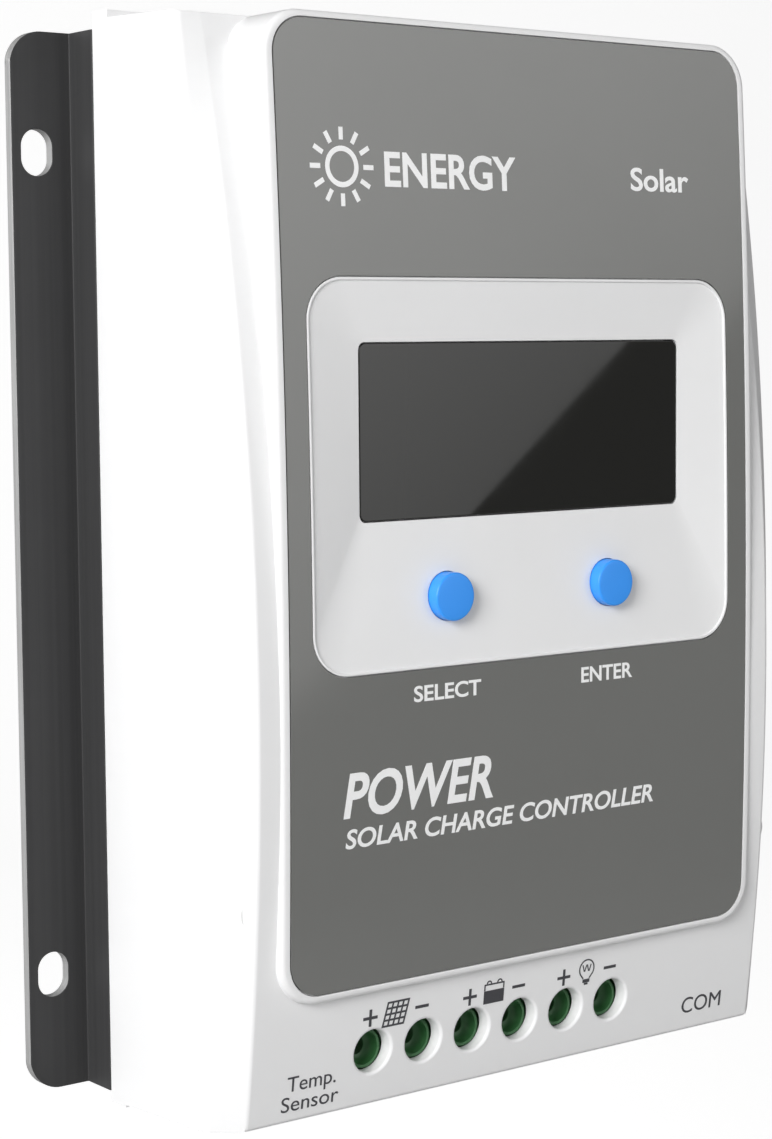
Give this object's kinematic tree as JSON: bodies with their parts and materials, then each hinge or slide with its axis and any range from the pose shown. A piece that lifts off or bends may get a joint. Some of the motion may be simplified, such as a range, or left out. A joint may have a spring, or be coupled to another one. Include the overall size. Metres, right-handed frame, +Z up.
{
  "type": "solar charge controller",
  "caption": "Wall-mounted solar charge controller: white cover bulging over a finned flanged heat sink, grey front label, dished LCD window, blue push buttons, screw terminals below.",
  "frame": {"origin": "centre of the four mounting slots, on the wall plane that the heat sink's flanges rest on", "axes": "+X to the right seen from the front, +Y into the wall, +Z up"},
  "size_m": [0.139, 0.0451, 0.172],
  "materials": {
    "anodised_aluminium": "dark grey anodised, fine die lines, bare cut edges",
    "thermal_pad": "matt silicone",
    "white_plastic": "white, fine moulded texture",
    "grey_label": "grey polyester film, satin, printed in white",
    "window": "smoked clear acrylic, polished",
    "lcd_glass": "unpowered liquid crystal, dark grey-green",
    "backlight": "milky light guide",
    "circuit_board": "green solder mask",
    "blue_plastic": "bright blue, satin",
    "black_plastic": "black moulded",
    "green_plastic": "green polyamide, satin",
    "nickel_steel": "nickel plated",
    "nickel_brass": "nickel plated",
    "tinned_copper": "tin plated copper",
    "copper_winding": "enamelled copper wire on a powdered-iron ring",
    "capacitor_sleeve": "shrunk vinyl sleeve, bare aluminium top"
  },
  "bodies": {
    "housing": {"heat_sink": "anodised_aluminium", "thermal_pad": "thermal_pad", "cover": "white_plastic", "front_label": "grey_label", "lcd_window": "window", "lcd_holder": "black_plastic", "lcd_glass": "lcd_glass", "lcd_backlight": "backlight", "display_board": "circuit_board", "board_link_header": "black_plastic", "select_switch": "black_plastic", "enter_switch": "black_plastic", "main_board": "circuit_board", "pv_terminal_block": "green_plastic", "battery_terminal_block": "green_plastic", "load_terminal_block": "green_plastic", "temp_sensor_socket": "green_plastic", "com_socket": "black_plastic", "power_inductor": "copper_winding", "pv_capacitor_1": "capacitor_sleeve", "pv_capacitor_2": "capacitor_sleeve", "battery_capacitor": "capacitor_sleeve", "buck_transistor_1": "black_plastic", "buck_transistor_2": "black_plastic", "load_transistor": "black_plastic", "pv_plus_contact": "tinned_copper", "pv_minus_contact": "tinned_copper", "battery_plus_contact": "tinned_copper", "battery_minus_contact": "tinned_copper", "load_plus_contact": "tinned_copper", "load_minus_contact": "tinned_copper", "standoff_1": "nickel_brass", "board_screw_1": "nickel_steel", "cover_screw_1": "nickel_steel", "standoff_2": "nickel_brass", "board_screw_2": "nickel_steel", "cover_screw_2": "nickel_steel", "standoff_3": "nickel_brass", "board_screw_3": "nickel_steel", "cover_screw_3": "nickel_steel", "standoff_4": "nickel_brass", "board_screw_4": "nickel_steel", "cover_screw_4": "nickel_steel"},
    "select_press": {"select_button": "blue_plastic", "select_plunger": "black_plastic"},
    "enter_press": {"enter_button": "blue_plastic", "enter_plunger": "black_plastic"},
    "pv_plus_screw_body": {"pv_plus_screw": "nickel_steel"},
    "pv_plus_cage_body": {"pv_plus_cage": "nickel_steel"},
    "pv_minus_screw_body": {"pv_minus_screw": "nickel_steel"},
    "pv_minus_cage_body": {"pv_minus_cage": "nickel_steel"},
    "battery_plus_screw_body": {"battery_plus_screw": "nickel_steel"},
    "battery_plus_cage_body": {"battery_plus_cage": "nickel_steel"},
    "battery_minus_screw_body": {"battery_minus_screw": "nickel_steel"},
    "battery_minus_cage_body": {"battery_minus_cage": "nickel_steel"},
    "load_plus_screw_body": {"load_plus_screw": "nickel_steel"},
    "load_plus_cage_body": {"load_plus_cage": "nickel_steel"},
    "load_minus_screw_body": {"load_minus_screw": "nickel_steel"},
    "load_minus_cage_body": {"load_minus_cage": "nickel_steel"}
  },
  "joints": [
    {"name": "select_button_press", "type": "slide", "parent": "housing", "child": "select_press", "axis": [0, 1, 0], "range_m": [0, 0.0008], "stiffness_N_per_m": 1500},
    {"name": "enter_button_press", "type": "slide", "parent": "housing", "child": "enter_press", "axis": [0, 1, 0], "range_m": [0, 0.0008], "stiffness_N_per_m": 1500},
    {"name": "pv_plus_screw_turn", "type": "hinge", "parent": "housing", "child": "pv_plus_screw_body", "pos_m": [-0.03, -0.0266, -0.0753], "axis": [0, 1, 0], "range_deg": [0, 1980.1]},
    {"name": "pv_plus_cage_lift", "type": "slide", "parent": "housing", "child": "pv_plus_cage_body", "axis": [0, -1, 0], "range_m": [0, 0.0033]},
    {"name": "pv_minus_screw_turn", "type": "hinge", "parent": "housing", "child": "pv_minus_screw_body", "pos_m": [-0.02, -0.0266, -0.0753], "axis": [0, 1, 0], "range_deg": [0, 1980.1]},
    {"name": "pv_minus_cage_lift", "type": "slide", "parent": "housing", "child": "pv_minus_cage_body", "axis": [0, -1, 0], "range_m": [0, 0.0033]},
    {"name": "battery_plus_screw_turn", "type": "hinge", "parent": "housing", "child": "battery_plus_screw_body", "pos_m": [-0.01, -0.0266, -0.0753], "axis": [0, 1, 0], "range_deg": [0, 1980.1]},
    {"name": "battery_plus_cage_lift", "type": "slide", "parent": "housing", "child": "battery_plus_cage_body", "axis": [0, -1, 0], "range_m": [0, 0.0033]},
    {"name": "battery_minus_screw_turn", "type": "hinge", "parent": "housing", "child": "battery_minus_screw_body", "pos_m": [0, -0.0266, -0.0753], "axis": [0, 1, 0], "range_deg": [0, 1980.1]},
    {"name": "battery_minus_cage_lift", "type": "slide", "parent": "housing", "child": "battery_minus_cage_body", "axis": [0, -1, 0], "range_m": [0, 0.0033]},
    {"name": "load_plus_screw_turn", "type": "hinge", "parent": "housing", "child": "load_plus_screw_body", "pos_m": [0.01, -0.0266, -0.0753], "axis": [0, 1, 0], "range_deg": [0, 1980.1]},
    {"name": "load_plus_cage_lift", "type": "slide", "parent": "housing", "child": "load_plus_cage_body", "axis": [0, -1, 0], "range_m": [0, 0.0033]},
    {"name": "load_minus_screw_turn", "type": "hinge", "parent": "housing", "child": "load_minus_screw_body", "pos_m": [0.02, -0.0266, -0.0753], "axis": [0, 1, 0], "range_deg": [0, 1980.1]},
    {"name": "load_minus_cage_lift", "type": "slide", "parent": "housing", "child": "load_minus_cage_body", "axis": [0, -1, 0], "range_m": [0, 0.0033]}
  ],
  "couplings": [
    {"joint": "pv_plus_screw_turn", "follows": "pv_plus_cage_lift", "rad_per_m": 10472},
    {"joint": "pv_minus_screw_turn", "follows": "pv_minus_cage_lift", "rad_per_m": 10472},
    {"joint": "battery_plus_screw_turn", "follows": "battery_plus_cage_lift", "rad_per_m": 10472},
    {"joint": "battery_minus_screw_turn", "follows": "battery_minus_cage_lift", "rad_per_m": 10472},
    {"joint": "load_plus_screw_turn", "follows": "load_plus_cage_lift", "rad_per_m": 10472},
    {"joint": "load_minus_screw_turn", "follows": "load_minus_cage_lift", "rad_per_m": 10472}
  ]
}
